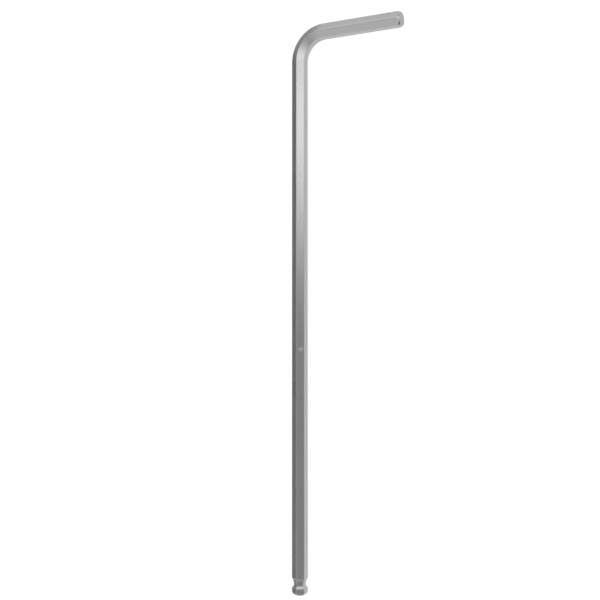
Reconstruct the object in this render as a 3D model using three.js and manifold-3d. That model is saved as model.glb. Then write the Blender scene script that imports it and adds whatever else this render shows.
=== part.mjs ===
// Ball end hex key: one length of hexagon steel bar, bent once through a right angle. The long arm
// ends in a ball on an undercut neck, the short arm in a plain end with its corners chamfered.
// Millimetres, +Z up. The key lies flat on its lowest corner edges, with the long arm along X and
// the ball at its low end, and the short arm towards -Y. The origin is under the middle of its box.
import * as THREE from 'three';
import Module from 'manifold-3d';

// The bar
const acrossFlats = 4;
const edgeRadius = 0.2;

// The bent shape: each length runs from the arm's end to the outer flat of the other arm
const longLength = 163.9;
const shortLength = 33.6;
const bendRadius = 8;

// The ball and its neck, ground into the six flats of the long arm's end. From a small face at its
// tip the ball widens over a bevel and a round shoulder to a land as wide as the bar, and a plain
// slope leads from there down to the neck. The land's ends are measured from the face of the tip.
const ballTipFlats = 2.3;
const ballTipSlope = (62 * Math.PI) / 180;
const shoulderRadius = 1.4;
const landStart = 1.1;
const landEnd = 2.03;
const backSlope = (36 * Math.PI) / 180;
const neckDepth = 0.51;
const neckFillet = 0.5;
const flareRadius = 4;

// The driving end of the short arm
const shortTipLength = 3;
const chamferInset = 0.08;
const chamferSlope = (28 * Math.PI) / 180;

// Steps in each round stretch
const edgeSteps = 2;
const bendSteps = 24;
const shoulderSteps = 10;
const filletSteps = 4;
const flareSteps = 10;
const circleSteps = 60;

// Places along the axis of the bar, measured from the face of the ball's tip
const halfFlats = acrossFlats / 2;
const neckHalf = halfFlats - neckDepth;
const filletHeight = neckHalf + neckFillet;
const filletSpare = neckFillet * (1 / Math.cos(backSlope) - 1);
const neckMiddle = landEnd + (neckDepth + filletSpare) / Math.tan(backSlope);
const neckStart = neckMiddle - neckFillet * Math.sin(backSlope);
const neckStartHalf = filletHeight - neckFillet * Math.cos(backSlope);
const flareDrop = flareRadius - neckDepth;
const flareEnd = neckMiddle + Math.sqrt(flareRadius ** 2 - flareDrop ** 2);
const bendStart = longLength - halfFlats - bendRadius;
const shortAxis = longLength - halfFlats;
const shortEnd = shortLength - halfFlats;
const shortTipStart = shortEnd - shortTipLength;
const cornerReach = (halfFlats - edgeRadius) / Math.cos(Math.PI / 6) + edgeRadius;

// Outline of the bar where its flats lie at a given distance from the axis: a hexagon with rounded
// edges, one corner up, and flats on the inside and the outside of the bend.
function hexagon(flatDistance) {
  const points = [];
  const arcDistance = (flatDistance - edgeRadius) / Math.cos(Math.PI / 6);
  for (let corner = 0; corner < 6; corner++) {
    const cornerAngle = Math.PI / 2 + (corner * Math.PI) / 3;
    const arcCentre = new THREE.Vector2(Math.cos(cornerAngle), Math.sin(cornerAngle));
    arcCentre.multiplyScalar(arcDistance);
    for (let step = 0; step <= edgeSteps; step++) {
      const angle = cornerAngle + ((step / edgeSteps - 0.5) * Math.PI) / 3;
      const spoke = new THREE.Vector2(Math.cos(angle), Math.sin(angle));
      points.push(arcCentre.clone().addScaledVector(spoke, edgeRadius));
    }
  }
  return points;
}

function circle(radius) {
  const points = [];
  for (let step = 0; step < circleSteps; step++) {
    const angle = (step / circleSteps) * 2 * Math.PI;
    points.push(new THREE.Vector2(Math.cos(angle), Math.sin(angle)).multiplyScalar(radius));
  }
  return points;
}

// An outline stood across the long arm's axis, its first coordinate pointing out of the bend.
function acrossLong(outline, x) {
  return outline.map((point) => new THREE.Vector3(x, point.x, point.y));
}

// An outline carried round the bend's centre by an angle from the end of the long arm.
function acrossBend(outline, angle) {
  return outline.map((point) => {
    const reach = bendRadius + point.x;
    const x = bendStart + reach * Math.sin(angle);
    const y = -bendRadius + reach * Math.cos(angle);
    return new THREE.Vector3(x, y, point.y);
  });
}

// An outline stood across the short arm at a distance from the long arm's axis.
function acrossShort(outline, distance) {
  return outline.map((point) => new THREE.Vector3(shortAxis + point.x, -distance, point.y));
}

// Closed body through outlines of equal counts, with a flat face at each end.
function loft(outlines) {
  const count = outlines[0].length;
  const positions = outlines.flat().flatMap((point) => point.toArray());
  const triangles = [];
  for (let row = 0; row + 1 < outlines.length; row++) {
    for (let i = 0; i < count; i++) {
      const here = row * count + i;
      const beside = row * count + ((i + 1) % count);
      triangles.push(here, beside, beside + count);
      triangles.push(here, beside + count, here + count);
    }
  }
  const last = (outlines.length - 1) * count;
  for (let i = 1; i + 1 < count; i++) {
    triangles.push(0, i + 1, i);
    triangles.push(last, last + i, last + i + 1);
  }
  return bodyFrom(new Float32Array(positions), new Uint32Array(triangles));
}

function bodyFrom(positions, triangles) {
  const geometry = new THREE.BufferGeometry();
  geometry.setAttribute('position', new THREE.BufferAttribute(positions, 3));
  geometry.setIndex(new THREE.BufferAttribute(triangles, 1));
  geometry.computeVertexNormals();
  return geometry;
}

// What two closed bodies share.
const wasm = await Module();
wasm.setup();

function shared(first, second) {
  const [a, b] = [first, second].map((geometry) => new wasm.Manifold(new wasm.Mesh({
    numProp: 3,
    vertProperties: geometry.getAttribute('position').array,
    triVerts: geometry.getIndex().array,
  })));
  const mesh = a.intersect(b).getMesh();
  return bodyFrom(mesh.vertProperties, mesh.triVerts);
}

// Outlines along a curve whose points give a place on the long arm's axis and the flats' distance.
function alongProfile(curve, steps) {
  return curve.getPoints(steps).map((point) => acrossLong(hexagon(point.y), point.x));
}

// Ball: the bevel at the tip ends where it meets the shoulder's arc, which runs into the land.
function ballGeometry() {
  const centre = new THREE.Vector2(landStart, halfFlats - shoulderRadius);
  const tip = new THREE.Vector2(0, ballTipFlats / 2);
  const rise = new THREE.Vector2(Math.cos(ballTipSlope), Math.sin(ballTipSlope));
  const fromCentre = tip.clone().sub(centre);
  const lean = fromCentre.dot(rise);
  const bevelLength = Math.sqrt(lean ** 2 - fromCentre.lengthSq() + shoulderRadius ** 2) - lean;
  const shoulder = tip.clone().addScaledVector(rise, bevelLength);
  const shoulderAngle = shoulder.clone().sub(centre).angle();
  const ridge = new THREE.Vector2(landEnd, halfFlats);
  const foot = new THREE.Vector2(neckStart, neckStartHalf);
  const bevel = new THREE.LineCurve(tip, shoulder);
  const arc = new THREE.ArcCurve(centre.x, centre.y, shoulderRadius, shoulderAngle, Math.PI / 2, true);
  const slope = new THREE.LineCurve(ridge, foot);
  return loft([
    ...alongProfile(bevel, 1),
    ...alongProfile(arc, shoulderSteps).slice(1),
    ...alongProfile(slope, 1),
  ]);
}

// Neck: a small fillet behind the ball, then a long arc that runs out into the full bar.
function neckGeometry() {
  const deepest = -Math.PI / 2;
  const ballSide = deepest - backSlope;
  const barSide = -Math.asin(flareDrop / flareRadius);
  const fillet = new THREE.ArcCurve(neckMiddle, filletHeight, neckFillet, ballSide, deepest, false);
  const flare = new THREE.ArcCurve(neckMiddle, neckHalf + flareRadius, flareRadius, deepest, barSide, false);
  return loft([...alongProfile(fillet, filletSteps), ...alongProfile(flare, flareSteps).slice(1)]);
}

function longArmGeometry() {
  const outline = hexagon(halfFlats);
  return loft([acrossLong(outline, flareEnd), acrossLong(outline, bendStart)]);
}

function bendGeometry() {
  const outline = hexagon(halfFlats);
  const outlines = [];
  for (let step = 0; step <= bendSteps; step++) {
    outlines.push(acrossBend(outline, ((step / bendSteps) * Math.PI) / 2));
  }
  return loft(outlines);
}

function shortArmGeometry() {
  const outline = hexagon(halfFlats);
  return loft([acrossShort(outline, bendRadius), acrossShort(outline, shortTipStart)]);
}

// Short tip: the end of the bar, turned to a cone that takes off its six corners. Bar and cone each
// run on past the other's end by a spare length, so that no two faces coincide.
function shortTipGeometry() {
  const outline = hexagon(halfFlats);
  const spare = shortTipLength;
  const bar = loft([acrossShort(outline, shortTipStart), acrossShort(outline, shortEnd + spare)]);
  const faceRadius = halfFlats - chamferInset;
  const coneLength = shortTipLength + spare;
  const coneRadius = faceRadius + coneLength * Math.tan(chamferSlope);
  const cone = loft([
    acrossShort(circle(coneRadius), shortEnd - coneLength),
    acrossShort(circle(faceRadius), shortEnd),
  ]);
  return shared(bar, cone);
}

// Drawn steel, a little more matt where the two ends are ground
const drawnSteel = { color: 0xb4b4b4, roughness: 0.22, metalness: 1 };
const groundSteel = { color: 0xb4b4b4, roughness: 0.33, metalness: 1 };

const key = new THREE.Group();
key.position.set(-longLength / 2, (shortLength - acrossFlats) / 2, cornerReach);

function addPiece(name, geometry, finish) {
  const piece = new THREE.Mesh(geometry, new THREE.MeshStandardMaterial(finish));
  piece.name = name;
  key.add(piece);
}

addPiece('ball', ballGeometry(), groundSteel);
addPiece('neck', neckGeometry(), groundSteel);
addPiece('long_arm', longArmGeometry(), drawnSteel);
addPiece('bend', bendGeometry(), drawnSteel);
addPiece('short_arm', shortArmGeometry(), drawnSteel);
addPiece('short_tip', shortTipGeometry(), groundSteel);

export default key;
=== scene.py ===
import math

import bmesh
import bpy
import numpy as np
from mathutils import Matrix, Vector


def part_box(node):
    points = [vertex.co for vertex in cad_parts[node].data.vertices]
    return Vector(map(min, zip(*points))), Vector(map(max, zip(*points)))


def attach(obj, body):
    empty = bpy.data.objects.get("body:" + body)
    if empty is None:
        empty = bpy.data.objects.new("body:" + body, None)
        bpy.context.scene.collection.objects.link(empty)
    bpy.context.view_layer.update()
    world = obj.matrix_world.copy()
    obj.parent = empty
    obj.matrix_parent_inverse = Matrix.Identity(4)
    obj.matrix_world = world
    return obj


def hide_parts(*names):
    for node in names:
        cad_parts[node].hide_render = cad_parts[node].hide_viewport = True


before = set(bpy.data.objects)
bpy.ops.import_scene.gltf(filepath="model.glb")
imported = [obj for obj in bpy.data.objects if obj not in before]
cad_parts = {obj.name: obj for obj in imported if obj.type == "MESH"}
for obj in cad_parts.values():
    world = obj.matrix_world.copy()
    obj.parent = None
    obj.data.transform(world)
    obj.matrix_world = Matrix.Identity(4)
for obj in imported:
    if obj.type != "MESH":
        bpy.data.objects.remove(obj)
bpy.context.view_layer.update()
mm = 0.001

# Long arm: hexagon steel bar, pulled through a die that leaves its six edges slightly rounded and
# fine lines along its flats. It lies on one corner edge, and its section stays the same from the
# neck to the bend.
arm_low, arm_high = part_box("long_arm")
half_flats = (arm_high.y - arm_low.y) / 2
corner_reach = (arm_high.z - arm_low.z) / 2
axis_y = (arm_high.y + arm_low.y) / 2
axis_z = (arm_high.z + arm_low.z) / 2
tip_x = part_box("ball")[0].x
neck_end = arm_low.x - tip_x
bend_start = arm_high.x - tip_x
half_corner = math.pi / 6
sharp_reach = half_flats / math.cos(half_corner)
edge_radius = (sharp_reach - corner_reach) / (1 / math.cos(half_corner) - 1)
edge_share = 0.3
edge_steps = 8
flat_steps = 8
edge_places = np.linspace(0, edge_share, edge_steps, endpoint=False)
flat_places = np.linspace(edge_share, 1, flat_steps, endpoint=False)
one_sixth = np.concatenate([edge_places, flat_places])
places = np.concatenate([corner + one_sixth for corner in range(6)])
top_edge = edge_steps // 2


def bar_outline(place, flat_distance):
    """Points of the bar's section, as distances out of the bend and up. A place runs from 0 to 6,
    one unit for each rounded corner and the flat after it."""
    corner = np.floor(place)
    along = place - corner
    corner_angle = math.pi / 2 + corner * 2 * half_corner
    angle = corner_angle + half_corner * (2 * np.minimum(along / edge_share, 1) - 1)
    arc_distance = (flat_distance - edge_radius) / math.cos(half_corner)
    flat_length = 2 * arc_distance * math.sin(half_corner)
    past_edge = flat_length * np.maximum(along - edge_share, 0) / (1 - edge_share)
    out = arc_distance * np.cos(corner_angle) + edge_radius * np.cos(angle)
    up = arc_distance * np.sin(corner_angle) + edge_radius * np.sin(angle)
    return out - past_edge * np.sin(angle), up + past_edge * np.cos(angle)


def points(x, y, z):
    return np.stack(np.broadcast_arrays(x, y, z), axis=-1)


def face_directions(surface, step):
    """Outward directions along a row, from points a hair's breadth to each side."""
    hair = 1e-4
    along = surface(step + hair * mm, places) - surface(step - hair * mm, places)
    around = surface(step, places + hair) - surface(step, places - hair)
    direction = np.cross(around, along)
    return direction / np.linalg.norm(direction, axis=1, keepdims=True)


def end_direction(row):
    """Direction square to a flat row of points that runs anticlockwise."""
    spokes = row - row.mean(axis=0)
    direction = np.cross(spokes, np.roll(spokes, -1, axis=0)).sum(axis=0)
    return direction / np.linalg.norm(direction)


def make_piece(name, start, bands):
    """Closed mesh through rows of points, with a flat face at each end. A band is a surface and
    the steps of its rows, and neighbouring bands share a row. Each corner of a face keeps its own
    band's direction. Every point keeps its place on the bar as it was before it was bent."""
    count = len(places)
    around = np.arange(count)
    beside = np.roll(around, -1)
    rows, quads, directions = [], [], []
    for surface, steps in bands:
        if not rows:
            rows.append(surface(steps[0], places))
        base = (len(rows) - 1) * count
        leans = [face_directions(surface, step) for step in steps]
        for r, step in enumerate(steps[1:]):
            here = base + r * count
            ahead = here + count
            rows.append(surface(step, places))
            corners = [here + around, here + beside, ahead + beside, ahead + around]
            quads.append(np.stack(corners, axis=1))
            lean, next_lean = leans[r], leans[r + 1]
            corner_leans = [lean[around], lean[beside], next_lean[beside], next_lean[around]]
            directions.append(np.stack(corner_leans, axis=1).reshape(-1, 3))
    last = (len(rows) - 1) * count
    first_end = list(reversed(range(count)))
    last_end = list(range(last, last + count))
    faces = np.concatenate(quads).tolist() + [first_end, last_end]
    directions.append(np.tile(-end_direction(rows[0]), (count, 1)))
    directions.append(np.tile(end_direction(rows[-1]), (count, 1)))
    mesh = bpy.data.meshes.new(name)
    mesh.from_pydata(np.concatenate(rows).tolist(), [], faces)
    mesh.shade_smooth()
    mesh.normals_split_custom_set(np.concatenate(directions).tolist())
    steps_taken = [np.linalg.norm(b[top_edge] - a[top_edge]) for a, b in zip(rows, rows[1:])]
    distances = start + np.concatenate([[0], np.cumsum(steps_taken)])
    out, up = bar_outline(places, half_flats)
    straight = np.concatenate([points(distance, out, up) for distance in distances]) / mm
    bar_place = mesh.attributes.new("bar_place", "FLOAT_VECTOR", "POINT")
    bar_place.data.foreach_set("vector", straight.ravel())
    piece = bpy.data.objects.new(name, mesh)
    bpy.context.scene.collection.objects.link(piece)
    return piece


def long_arm_surface(station, place):
    out, up = bar_outline(place, half_flats)
    return points(tip_x + station, axis_y + out, axis_z + up)


def node(tree, kind, **settings):
    made = tree.nodes.new(kind)
    for name, value in settings.items():
        setattr(made, name, value)
    return made


def feed(tree, socket, value):
    """Links a socket to another, or sets it to a number."""
    if isinstance(value, bpy.types.NodeSocket):
        tree.links.new(value, socket)
    else:
        socket.default_value = value


def reckon(tree, operation, first, second=0.0):
    made = node(tree, "ShaderNodeMath", operation=operation)
    feed(tree, made.inputs[0], first)
    feed(tree, made.inputs[1], second)
    return made.outputs[0]


def spread(tree, value, old_range, new_range, way="LINEAR"):
    """Carries a value from one range to another, held at the ends."""
    made = node(tree, "ShaderNodeMapRange", interpolation_type=way)
    feed(tree, made.inputs["Value"], value)
    labels = ("From Min", "From Max", "To Min", "To Max")
    for label, number in zip(labels, (*old_range, *new_range)):
        made.inputs[label].default_value = number
    return made.outputs["Result"]


def effect(name, inputs, outputs):
    """Empty node group with number sockets, and the nodes at its two ends."""
    group = bpy.data.node_groups.new(name, "ShaderNodeTree")
    for label in inputs:
        group.interface.new_socket(label, in_out="INPUT", socket_type="NodeSocketFloat")
    for label in outputs:
        group.interface.new_socket(label, in_out="OUTPUT", socket_type="NodeSocketFloat")
    return group, node(group, "NodeGroupInput").outputs, node(group, "NodeGroupOutput").inputs


def use_effect(tree, group, **values):
    made = node(tree, "ShaderNodeGroup", node_tree=group)
    for label, value in values.items():
        made.inputs[label.replace("_", " ")].default_value = value
    return made.outputs


def grain(tree, along, across, detail):
    """Noise over the straight bar, with so many waves a millimetre along it and across it."""
    bar = node(tree, "ShaderNodeAttribute", attribute_name="bar_place")
    scale = node(tree, "ShaderNodeCombineXYZ")
    for socket, value in zip(scale.inputs, (along, across, across)):
        feed(tree, socket, value)
    scaled = node(tree, "ShaderNodeVectorMath", operation="MULTIPLY")
    tree.links.new(bar.outputs["Vector"], scaled.inputs[0])
    tree.links.new(scale.outputs[0], scaled.inputs[1])
    noise = node(tree, "ShaderNodeTexNoise")
    noise.inputs["Scale"].default_value = 1
    noise.inputs["Detail"].default_value = detail
    tree.links.new(scaled.outputs[0], noise.inputs["Vector"])
    return noise.outputs["Fac"]


none_to_full = (0, 1)
grain_span = (0.3, 0.7)

# Tool lines: grooves left by the die or the grinding wheel.
tool_lines, given, result = effect("tool_lines", ["Waves along", "Waves across"], ["Height"])
lines = grain(tool_lines, given["Waves along"], given["Waves across"], detail=3)
tool_lines.links.new(lines, result["Height"])

# Handling: cloudy patches of thin oil, darker stains and small pits.
handling, given, result = effect("handling", ["Patches per mm"], ["Cloud", "Stain", "Pit"])
patches = given["Patches per mm"]
stain_span = (0.56, 0.72)
pit_span = (0.77, 0.82)
cloud_along = reckon(handling, "MULTIPLY", patches, 0.35)
cloud = grain(handling, cloud_along, patches, detail=3)
handling.links.new(spread(handling, cloud, grain_span, none_to_full), result["Cloud"])
stain_across = reckon(handling, "MULTIPLY", patches, 2.2)
stain = grain(handling, patches, stain_across, detail=5)
stain = spread(handling, stain, stain_span, none_to_full, "SMOOTHSTEP")
handling.links.new(stain, result["Stain"])
pits_along = reckon(handling, "MULTIPLY", patches, 6)
pits_across = reckon(handling, "MULTIPLY", patches, 9)
pit = grain(handling, pits_along, pits_across, detail=1)
pit = spread(handling, pit, pit_span, none_to_full, "SMOOTHSTEP")
handling.links.new(pit, result["Pit"])

# Worn edges and painted edge highlight: the six corners, rubbed bright in places, and lightened a
# little all along them as a painted highlight.
wear_and_edge_highlight, given, result = effect("wear_and_edge_highlight", ["Patches per mm"], ["Edge"])
bar = node(wear_and_edge_highlight, "ShaderNodeAttribute", attribute_name="bar_place")
across = node(wear_and_edge_highlight, "ShaderNodeSeparateXYZ")
wear_and_edge_highlight.links.new(bar.outputs["Vector"], across.inputs[0])
turn = reckon(wear_and_edge_highlight, "ARCTAN2", across.outputs["Z"], across.outputs["Y"])
from_flat = reckon(wear_and_edge_highlight, "PINGPONG", turn, half_corner)
edge_span = (math.radians(25), math.radians(28.5))
rubbed_span = (0.35, 0.6)
wear_and_highlight_share = (0.25, 1)
near_edge = spread(wear_and_edge_highlight, from_flat, edge_span, none_to_full, "SMOOTHSTEP")
wear_and_highlight = grain(wear_and_edge_highlight, given["Patches per mm"], given["Patches per mm"], detail=3)
wear_and_highlight = spread(wear_and_edge_highlight, wear_and_highlight, rubbed_span, wear_and_highlight_share)
wear_and_edge_highlight.links.new(reckon(wear_and_edge_highlight, "MULTIPLY", near_edge, wear_and_highlight), result["Edge"])


def bare_steel(name):
    """New material of bare metal, with its nodes and its shader."""
    made = bpy.data.materials.new(name)
    made.use_nodes = True
    shader = made.node_tree.nodes["Principled BSDF"]
    shader.inputs["Metallic"].default_value = 1
    return made, made.node_tree, shader


def change(tree, operation, value, mask, new_range):
    """Changes a value by a mask, which is first carried to a range of its own."""
    return reckon(tree, operation, value, spread(tree, mask, none_to_full, new_range))


def cut_grooves(tree, shader, height, depth):
    grooves = node(tree, "ShaderNodeBump")
    grooves.inputs["Distance"].default_value = depth
    tree.links.new(height, grooves.inputs["Height"])
    tree.links.new(grooves.outputs["Normal"], shader.inputs["Normal"])


glancing_tint = (0.85, 0.85, 0.85, 1)
drawn_steel, tree, shader = bare_steel("drawn_steel")
shader.inputs["Specular Tint"].default_value = glancing_tint
lines = use_effect(tree, tool_lines, Waves_along=0.012, Waves_across=1.6)["Height"]
marks = use_effect(tree, handling, Patches_per_mm=0.6)
edges = use_effect(tree, wear_and_edge_highlight, Patches_per_mm=0.25)["Edge"]
tone = spread(tree, lines, grain_span, (0.44, 0.475))
tone = change(tree, "MULTIPLY", tone, marks["Cloud"], (0.98, 1.02))
tone = change(tree, "MULTIPLY", tone, marks["Stain"], (1, 0.93))
tone = change(tree, "MULTIPLY", tone, marks["Pit"], (1, 0.7))
# The corners are lightened: partly wear, partly a painted highlight along the edges.
tone = change(tree, "ADD", tone, edges, (0, 0.04))
tree.links.new(tone, shader.inputs["Base Color"])
gloss = spread(tree, marks["Cloud"], none_to_full, (0.205, 0.235))
gloss = change(tree, "ADD", gloss, marks["Stain"], (0, 0.03))
tree.links.new(gloss, shader.inputs["Roughness"])
cut_grooves(tree, shader, lines, depth=0.0006 * mm)

long_arm_rows = np.linspace(neck_end, bend_start, 61)
long_arm = make_piece("bar_long_arm", neck_end, [(long_arm_surface, long_arm_rows)])
long_arm.data.materials.append(drawn_steel)
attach(long_arm, "root")
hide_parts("long_arm")

# Size mark: the figure for the distance across the flats in millimetres, etched into the upper flat
# on the inside of the bend. The acid leaves the steel pale and matt, a few microns deep.
mark_x = -11.6 * mm
mark_size = 2.3 * mm
mark_stretch = 1.25
mark_drop = 0.1 * mm
mark_skin = 0.004 * mm
mark_lean = 2 * half_corner
figure = bpy.data.curves.new("figure", "FONT")
figure.body = f"{2 * half_flats / mm:.0f}"
figure.size = mark_size
figure.extrude = mark_skin
figure_object = bpy.data.objects.new("figure", figure)
bpy.context.scene.collection.objects.link(figure_object)
drawn_figure = figure_object.evaluated_get(bpy.context.evaluated_depsgraph_get())
mark_mesh = bpy.data.meshes.new_from_object(drawn_figure)
figure_box = [tuple(corner) for corner in drawn_figure.bound_box]
bpy.data.objects.remove(figure_object)
mark_form = bmesh.new()
mark_form.from_mesh(mark_mesh)
bmesh.ops.remove_doubles(mark_form, verts=mark_form.verts, dist=mark_skin / 10)
reading = Vector((1, 0, 0))
outward = Vector((0, -math.cos(mark_lean), math.sin(mark_lean)))
upright = outward.cross(reading)
axes = Matrix((mark_stretch * reading, upright, outward)).transposed().to_4x4()
mark_place = Vector((mark_x, axis_y, axis_z)) + half_flats * outward - mark_drop * upright
middle = sum((Vector(corner) for corner in figure_box), Vector()) / len(figure_box)
laid = Matrix.Translation(mark_place) @ axes @ Matrix.Translation(-middle)
bmesh.ops.transform(mark_form, matrix=laid, verts=mark_form.verts)
mark_form.to_mesh(mark_mesh)
mark_form.free()
mark_mesh.name = "size_mark"
bar_place = mark_mesh.attributes.new("bar_place", "FLOAT_VECTOR", "POINT")
for vertex, kept in zip(mark_mesh.vertices, bar_place.data):
    kept.vector = (vertex.co - Vector((tip_x, axis_y, axis_z))) / mm

etched_steel, tree, shader = bare_steel("etched_steel")
bite = use_effect(tree, tool_lines, Waves_along=6, Waves_across=6)["Height"]
tree.links.new(spread(tree, bite, grain_span, (0.55, 0.66)), shader.inputs["Base Color"])
tree.links.new(spread(tree, bite, grain_span, (0.55, 0.65)), shader.inputs["Roughness"])

size_mark = bpy.data.objects.new("size_mark", mark_mesh)
bpy.context.scene.collection.objects.link(size_mark)
size_mark.data.materials.clear()
size_mark.data.materials.append(etched_steel)
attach(size_mark, "root")

# Bend: the same bar, bent cold round a former to a right angle, with flats facing the inside and
# the outside. The squeezed inner flat has a few small wrinkles across it.
bend_low, bend_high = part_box("bend")
bend_radius = bend_high.x - bend_low.x - half_flats
bend_centre_x = bend_low.x
bend_centre_y = axis_y - bend_radius
bend_end = bend_start + bend_radius * math.pi / 2
wrinkle_height = 0.012 * mm
wrinkle_gap = 0.9 * mm
wrinkle_middle = bend_start + 0.62 * (bend_end - bend_start)
wrinkle_reach = 1.6 * mm
inner_flat_start = 1 + edge_share


def bend_surface(station, place):
    out, up = bar_outline(place, half_flats)
    across_flat = (place - inner_flat_start) / (1 - edge_share)
    on_flat = np.where((across_flat > 0) & (across_flat < 1), np.sin(math.pi * across_flat), 0)
    fading = math.exp(-((station - wrinkle_middle) / wrinkle_reach) ** 2)
    ripple = math.cos(2 * math.pi * (station - wrinkle_middle) / wrinkle_gap)
    out = out - wrinkle_height * fading * ripple * on_flat
    turn = (station - bend_start) / bend_radius
    x = bend_centre_x + (bend_radius + out) * math.sin(turn)
    y = bend_centre_y + (bend_radius + out) * math.cos(turn)
    return points(x, y, axis_z + up)


bend_rows = np.linspace(bend_start, bend_end, 161)
bend = make_piece("bar_bend", bend_start, [(bend_surface, bend_rows)])
bend.data.materials.append(drawn_steel)
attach(bend, "root")
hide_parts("bend")

# Short arm: the straight bar again, from the bend to the driving end. It keeps the finish that the
# die gave it, and it is the lever when the ball is in the screw.
short_low, short_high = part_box("short_arm")
short_x = (short_low.x + short_high.x) / 2
tip_start = bend_end + short_high.y - short_low.y


def short_arm_surface(station, place):
    out, up = bar_outline(place, half_flats)
    return points(short_x + out, short_high.y - (station - bend_end), axis_z + up)


short_arm_rows = np.linspace(bend_end, tip_start, 13)
short_arm = make_piece("bar_short_arm", bend_end, [(short_arm_surface, short_arm_rows)])
short_arm.data.materials.append(drawn_steel)
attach(short_arm, "root")
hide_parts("short_arm")

# Short tip: the driving end of the short arm. The bar is sawn square and its end turned to a cone,
# which takes off the six corners so that it starts easily in a socket.
end_low, end_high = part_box("short_tip")
tip_end = tip_start + end_high.y - end_low.y
cone_slope = math.radians(28)
cone_inset = 0.08 * mm
face_radius = half_flats - cone_inset
rim_radius = 0.06 * mm
rim_centre = face_radius - rim_radius * (1 - math.sin(cone_slope)) / math.cos(cone_slope)
cone_end = tip_end - rim_radius * (1 - math.sin(cone_slope))


def round_the_tip(station, radius, place):
    """Points at a distance from the short arm's axis, in the directions of the bar's outline."""
    out, up = bar_outline(place, half_flats)
    reach = np.hypot(out, up)
    y = short_high.y - (station - bend_end)
    return points(short_x + out / reach * radius, y, axis_z + up / reach * radius)


def cone_start(place):
    reach = np.hypot(*bar_outline(place, half_flats))
    return tip_end - (reach - face_radius) / math.tan(cone_slope)


def tip_side_surface(share, place):
    return short_arm_surface(tip_start + share * (cone_start(place) - tip_start), place)


def cone_surface(share, place):
    station = cone_start(place) + share * (cone_end - cone_start(place))
    radius = face_radius + (tip_end - station) * math.tan(cone_slope)
    return round_the_tip(station, radius, place)


def rim_surface(angle, place):
    station = tip_end - rim_radius + rim_radius * math.sin(angle)
    return round_the_tip(station, rim_centre + rim_radius * math.cos(angle), place)


ground_steel, tree, shader = bare_steel("ground_steel")
shader.inputs["Specular Tint"].default_value = glancing_tint
lines = use_effect(tree, tool_lines, Waves_along=9, Waves_across=0.4)["Height"]
marks = use_effect(tree, handling, Patches_per_mm=0.8)
edges = use_effect(tree, wear_and_edge_highlight, Patches_per_mm=0.5)["Edge"]
tone = spread(tree, lines, grain_span, (0.44, 0.48))
tone = change(tree, "MULTIPLY", tone, marks["Stain"], (1, 0.88))
# The corners are lightened: partly wear, partly a painted highlight along the edges.
tone = change(tree, "ADD", tone, edges, (0, 0.03))
tree.links.new(tone, shader.inputs["Base Color"])
gloss = spread(tree, marks["Cloud"], none_to_full, (0.2, 0.25))
tree.links.new(gloss, shader.inputs["Roughness"])
cut_grooves(tree, shader, lines, depth=0.002 * mm)

sawn_steel, tree, shader = bare_steel("sawn_steel")
cuts = use_effect(tree, tool_lines, Waves_along=0, Waves_across=4)["Height"]
tree.links.new(spread(tree, cuts, grain_span, (0.37, 0.44)), shader.inputs["Base Color"])
tree.links.new(spread(tree, cuts, grain_span, (0.38, 0.46)), shader.inputs["Roughness"])
cut_grooves(tree, shader, cuts, depth=0.003 * mm)

side_rows = 8
short_tip = make_piece("bar_short_tip", tip_start, [
    (tip_side_surface, np.linspace(0, 1, side_rows + 1)),
    (cone_surface, np.linspace(0, 1, 7)),
    (rim_surface, np.linspace(cone_slope, math.pi / 2, 6)),
])
for finish in (ground_steel, drawn_steel, sawn_steel):
    short_tip.data.materials.append(finish)
for face in short_tip.data.polygons[:side_rows * len(places)]:
    face.material_index = 1
short_tip.data.polygons[-1].material_index = 2
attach(short_tip, "root")
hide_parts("short_tip")

# Neck: an undercut ground behind the ball, so that the key can lean in a socket. A small fillet
# leads down from the ball, and a long arc runs out into the full bar.
neck_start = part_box("ball")[1].x - tip_x
neck_depth = 0.51 * mm
neck_fillet = 0.5 * mm
flare_radius = 4 * mm
back_slope = math.radians(36)
neck_half = half_flats - neck_depth
neck_middle = neck_start + neck_fillet * math.sin(back_slope)


def ground_section(station, flat_distance, place):
    out, up = bar_outline(place, flat_distance)
    return points(tip_x + station, axis_y + out, axis_z + up)


def fillet_surface(station, place):
    drop = math.sqrt(neck_fillet ** 2 - (station - neck_middle) ** 2)
    return ground_section(station, neck_half + neck_fillet - drop, place)


def flare_surface(station, place):
    drop = math.sqrt(flare_radius ** 2 - (station - neck_middle) ** 2)
    return ground_section(station, neck_half + flare_radius - drop, place)


neck = make_piece("bar_neck", neck_start, [
    (fillet_surface, np.linspace(neck_start, neck_middle, 11)),
    (flare_surface, np.linspace(neck_middle, neck_end, 31)),
])
neck.data.materials.append(ground_steel)
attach(neck, "root")
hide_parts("neck")

# Ball: ground into the six flats. From a small flat face, whose edge is just broken, it widens
# over bevels and a round shoulder to a land as wide as the bar. Behind a ridge, plain slopes lead
# down to the neck.
tip_half = 1.15 * mm
tip_slope = math.radians(62)
tip_edge = 0.06 * mm
shoulder_radius = 1.4 * mm
land_start = 1.1 * mm
land_end = 2.03 * mm
ridge_radius = 0.08 * mm
tip_edge_centre = tip_half - tip_edge * (1 - math.sin(tip_slope)) / math.cos(tip_slope)
bevel_start = tip_edge * (1 - math.sin(tip_slope))
shoulder_base = half_flats - shoulder_radius
tip_rise = tip_half - shoulder_base
tip_lean = tip_rise * math.sin(tip_slope) - land_start * math.cos(tip_slope)
arc_reach = math.sqrt(tip_lean ** 2 - land_start ** 2 - tip_rise ** 2 + shoulder_radius ** 2)
bevel_length = arc_reach - tip_lean
shoulder_start = bevel_length * math.cos(tip_slope)
ridge_start = land_end - ridge_radius * math.tan(back_slope / 2)
back_start = ridge_start + ridge_radius * math.sin(back_slope)


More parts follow.
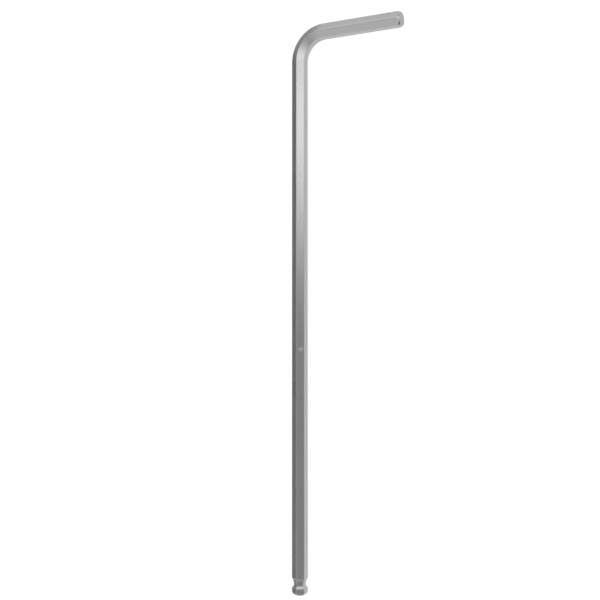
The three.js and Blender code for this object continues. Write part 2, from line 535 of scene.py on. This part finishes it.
def tip_edge_surface(angle, place):
    station = tip_edge * (1 - math.cos(angle))
    return ground_section(station, tip_edge_centre + tip_edge * math.sin(angle), place)


def bevel_surface(station, place):
    return ground_section(station, tip_half + station * math.tan(tip_slope), place)


def shoulder_surface(station, place):
    rise = math.sqrt(shoulder_radius ** 2 - (station - land_start) ** 2)
    return ground_section(station, shoulder_base + rise, place)


def land_surface(station, place):
    return ground_section(station, half_flats, place)


def ridge_surface(angle, place):
    station = ridge_start + ridge_radius * math.sin(angle)
    return ground_section(station, half_flats - ridge_radius * (1 - math.cos(angle)), place)


def back_surface(station, place):
    drop = (station - land_end) * math.tan(back_slope)
    return ground_section(station, half_flats - drop, place)


ball = make_piece("bar_ball", 0, [
    (tip_edge_surface, np.linspace(0, math.pi / 2 - tip_slope, 5)),
    (bevel_surface, np.linspace(bevel_start, shoulder_start, 4)),
    (shoulder_surface, np.linspace(shoulder_start, land_start, 21)),
    (land_surface, np.linspace(land_start, ridge_start, 4)),
    (ridge_surface, np.linspace(0, back_slope, 6)),
    (back_surface, np.linspace(back_start, neck_start, 6)),
])
ball.data.materials.append(ground_steel)
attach(ball, "root")
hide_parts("ball")

# Floor: one wide white sheet that the key lies on, and a white wall far round it that closes the
# view. The floor looks white, also in the steel, and keeps the key's soft shadow.
floor_half = 3.0
sheet_glow = 0.945
sheet_shade = (0.12, 0.12, 0.12, 1)


def make_sheets(name, corners, faces, material):
    """Flat faces round the key, seen behind it or in its steel."""
    mesh = bpy.data.meshes.new(name)
    mesh.from_pydata(corners, [], faces)
    mesh.materials.append(material)
    made = bpy.data.objects.new(name, mesh)
    bpy.context.scene.collection.objects.link(made)
    return made


white_sheet = bpy.data.materials.new("white_sheet")
white_sheet.use_nodes = True
tree = white_sheet.node_tree
tree.nodes.clear()
ray = node(tree, "ShaderNodeLightPath").outputs
looked_at = reckon(tree, "MAXIMUM", ray["Is Camera Ray"], ray["Is Glossy Ray"])
looked_at = reckon(tree, "MAXIMUM", looked_at, ray["Is Transmission Ray"])
glow = node(tree, "ShaderNodeEmission")
glow.inputs["Strength"].default_value = sheet_glow
shaded = node(tree, "ShaderNodeBsdfDiffuse")
shaded.inputs["Color"].default_value = sheet_shade
white = node(tree, "ShaderNodeAddShader")
tree.links.new(glow.outputs[0], white.inputs[0])
tree.links.new(shaded.outputs[0], white.inputs[1])
plain = node(tree, "ShaderNodeBsdfDiffuse")
choice = node(tree, "ShaderNodeMixShader")
tree.links.new(looked_at, choice.inputs[0])
tree.links.new(plain.outputs[0], choice.inputs[1])
tree.links.new(white.outputs[0], choice.inputs[2])
sheet_out = node(tree, "ShaderNodeOutputMaterial")
tree.links.new(choice.outputs[0], sheet_out.inputs["Surface"])

floor_corners = [(-floor_half, -floor_half, 0), (floor_half, -floor_half, 0)]
floor_corners += [(floor_half, floor_half, 0), (-floor_half, floor_half, 0)]
floor = make_sheets("floor", floor_corners, [(0, 1, 2, 3)], white_sheet)

wall_height = 2.0
wall_count = 72
wall_foot = []
wall_top = []
wall_faces = []
for turn in np.arange(wall_count) * 2 * math.pi / wall_count:
    wall_x = floor_half * math.cos(turn)
    wall_y = floor_half * math.sin(turn)
    wall_foot.append((wall_x, wall_y, 0))
    wall_top.append((wall_x, wall_y, wall_height))
for here in range(wall_count):
    beside = (here + 1) % wall_count
    wall_faces.append((beside, here, wall_count + here, wall_count + beside))
wall = make_sheets("wall", wall_foot + wall_top, wall_faces, white_sheet)
wall.visible_diffuse = False
wall.visible_glossy = False
wall.visible_shadow = False

# Light: a pale room that is darker overhead, where the camera hangs, and a soft lamp over the bend
# that fades out along the long arm. A low dark card behind the key and dark sheets on the floor
# round it show only in its steel. The strip of dark sheet from under the key round the bend darkens
# the steel's reflection of the floor right beside the key.
room_level = 0.88
darkest_level = 0.05

# Patches of the room: the way to each, the angles in degrees where it is full and where it has
# faded out, and the light that it adds.
room_patches = [
    ((-0.115, -0.572, 0.81), (23, 66), -0.44),
    ((-0.85, -0.3, 0.42), (12, 38), -0.15),
    ((-0.87, -0.48, 0.08), (7, 22), -0.75),
    ((0.82, -0.33, 0.46), (8, 22), -0.3),
    ((0.71, 0.36, 0.6), (8, 28), 0.9),
    ((-0.55, -0.03, 0.83), (8, 26), 0.14),
    ((-0.2, 0.2, 0.96), (8, 26), -0.35),
]
room = bpy.data.worlds.new("room")
bpy.context.scene.world = room
room.use_nodes = True
tree = room.node_tree
tree.nodes.clear()
towards = node(tree, "ShaderNodeTexCoord").outputs["Generated"]


def soft_patch(level, centre, reach, added):
    """Adds a round patch to the room's light, full within one angle and gone at another."""
    facing = node(tree, "ShaderNodeVectorMath", operation="DOT_PRODUCT")
    facing.inputs[1].default_value = Vector(centre).normalized()
    tree.links.new(towards, facing.inputs[0])
    angle = reckon(tree, "ARCCOSINE", facing.outputs["Value"])
    angles = [math.radians(degrees) for degrees in reach]
    return reckon(tree, "ADD", level, spread(tree, angle, angles, (added, 0), "SMOOTHSTEP"))


level = room_level
for centre, reach, added in room_patches:
    level = soft_patch(level, centre, reach, added)
level = reckon(tree, "MAXIMUM", level, darkest_level)
sky = node(tree, "ShaderNodeBackground")
sky.inputs["Color"].default_value = (1, 1, 1, 1)
tree.links.new(level, sky.inputs["Strength"])
room_out = node(tree, "ShaderNodeOutputWorld")
tree.links.new(sky.outputs[0], room_out.inputs["Surface"])

lamp_low_x = -9 * mm
lamp_full_x = 91 * mm
lamp_falling_x = 88 * mm
lamp_length = 200 * mm
lamp_width = 125 * mm
lamp_y = -77.5 * mm
lamp_z = 121 * mm
lamp_level = 1.2
lamp = bpy.data.lights.new("lamp", "AREA")
lamp.shape = "RECTANGLE"
lamp.size = lamp_length
lamp.size_y = lamp_width
lamp.energy = lamp_level * math.pi * lamp_length * lamp_width
lamp.use_nodes = True
tree = lamp.node_tree
on_lamp = node(tree, "ShaderNodeNewGeometry").outputs["Parametric"]
across_lamp = node(tree, "ShaderNodeSeparateXYZ")
tree.links.new(on_lamp, across_lamp.inputs[0])
full_share = (lamp_full_x - lamp_low_x) / lamp_length
falling_share = (lamp_falling_x - lamp_low_x) / lamp_length
rising = spread(tree, across_lamp.outputs["X"], (0, full_share), none_to_full, "SMOOTHSTEP")
falling = spread(tree, across_lamp.outputs["X"], (falling_share, 1), (1, 0), "SMOOTHSTEP")
lamp_strength = tree.nodes["Emission"].inputs["Strength"]
tree.links.new(reckon(tree, "MULTIPLY", rising, falling), lamp_strength)
lamp_object = bpy.data.objects.new("lamp", lamp)
lamp_object.location = (lamp_low_x + lamp_length / 2, lamp_y, lamp_z)
bpy.context.scene.collection.objects.link(lamp_object)

# Dark sheets, seen only in the steel: a little paler past the ball end, and pale past the bend and
# by the short tip.
dark_sheets = bpy.data.materials.new("dark_sheets")
dark_sheets.use_nodes = True
tree = dark_sheets.node_tree
tree.nodes.clear()
dark_diffuse = node(tree, "ShaderNodeBsdfDiffuse")
on_dark_sheet = node(tree, "ShaderNodeSeparateXYZ")
tree.links.new(node(tree, "ShaderNodeNewGeometry").outputs["Position"], on_dark_sheet.inputs[0])
dark_tone = 0.28
ball_end_tone = 0.39
faded_tone = 0.9
ball_fade_x = (-100 * mm, -20 * mm)
bend_fade_x = (115 * mm, 215 * mm)
tip_fade_y = (-14 * mm, 6 * mm)
short_side_x = 75 * mm
by_ball = spread(tree, on_dark_sheet.outputs["X"], ball_fade_x, (ball_end_tone, dark_tone))
past_bend = spread(tree, on_dark_sheet.outputs["X"], bend_fade_x, (dark_tone, faded_tone))
by_tip = spread(tree, on_dark_sheet.outputs["Y"], tip_fade_y, (faded_tone, 0))
on_short_side = reckon(tree, "GREATER_THAN", on_dark_sheet.outputs["X"], short_side_x)
by_tip = reckon(tree, "MULTIPLY", by_tip, on_short_side)
tone = reckon(tree, "MAXIMUM", reckon(tree, "MAXIMUM", by_ball, past_bend), by_tip)
tree.links.new(tone, dark_diffuse.inputs["Color"])
dark_sheet_out = node(tree, "ShaderNodeOutputMaterial")
tree.links.new(dark_diffuse.outputs[0], dark_sheet_out.inputs["Surface"])

card_y = axis_y + 60 * mm
card_height = 18 * mm
card_start = -250 * mm
card_bend = 200 * mm
card_end = 300 * mm
dark_sheet_z = 0.05 * mm
beside_near = 0.5 * mm
beside_far = 20 * mm
beside_start = -81.5 * mm
beside_end_y = -14 * mm
tongue_start = -87 * mm
tongue_far = 4 * mm
ball_dark_end = -85 * mm
ball_dark_near = 6 * mm
ball_dark_far = 32 * mm
inner_dark_x = 68 * mm
inner_dark_y = (-140 * mm, 2 * mm)
card_corners = []
card_faces = []


def lay(*corners):
    """Adds one four-sided sheet."""
    first = len(card_corners)
    card_corners.extend(corners)
    card_faces.append(tuple(range(first, first + 4)))


def floor_dark_sheet(x_range, y_range):
    spots = [(x_range[0], y_range[0]), (x_range[1], y_range[0])]
    spots += [(x_range[1], y_range[1]), (x_range[0], y_range[1])]
    lay(*[(x, y, dark_sheet_z) for x, y in spots])


lay((card_start, card_y, 0), (card_end, card_y, 0),
    (card_bend, card_y, card_height), (card_start, card_y, card_height))
floor_dark_sheet((card_start, inner_dark_x), inner_dark_y)
floor_dark_sheet((card_start, ball_dark_end), (axis_y + ball_dark_near, axis_y + ball_dark_far))
floor_dark_sheet((tongue_start, beside_start), (axis_y + beside_near, axis_y + tongue_far))
# A strip of dark sheet from under the key, round the bend to the short tip: it darkens the steel's
# reflection of the floor right beside the key.
beside_edges = []
for side in (beside_near, beside_far):
    edge = [(beside_start, axis_y + side, dark_sheet_z)]
    for turn in np.linspace(0, math.pi / 2, 13).tolist():
        reach = bend_radius + side
        edge_x = bend_centre_x + reach * math.sin(turn)
        edge.append((edge_x, bend_centre_y + reach * math.cos(turn), dark_sheet_z))
    edge.append((short_x + side, beside_end_y, dark_sheet_z))
    beside_edges.append(edge)
near_line, far_line = beside_edges
for here in range(len(near_line) - 1):
    lay(near_line[here], far_line[here], far_line[here + 1], near_line[here + 1])
card = make_sheets("card", card_corners, card_faces, dark_sheets)
card.visible_camera = False
card.visible_diffuse = False
card.visible_shadow = False
card.visible_transmission = False

# Camera: above the key on the side of its short arm, turned so that the long arm stands upright
# in the picture.
camera_place = Vector((-3.3, -105.79, 234.92)) * mm
camera_aim = Vector((2.76, 14.77, 2.28)) * mm
picture_up = Vector((1, 0, 0))
camera = bpy.data.objects.new("camera", bpy.data.cameras.new("camera"))
bpy.context.scene.collection.objects.link(camera)
back = (camera_place - camera_aim).normalized()
right = picture_up.cross(back).normalized()
turned = Matrix((right, back.cross(right), back)).transposed().to_4x4()
camera.matrix_world = Matrix.Translation(camera_place) @ turned
camera.data.sensor_width = 36
camera.data.lens = 54.27
camera.data.clip_start = 10 * mm
bpy.context.scene.camera = camera
bpy.context.scene.view_settings.view_transform = "Standard"
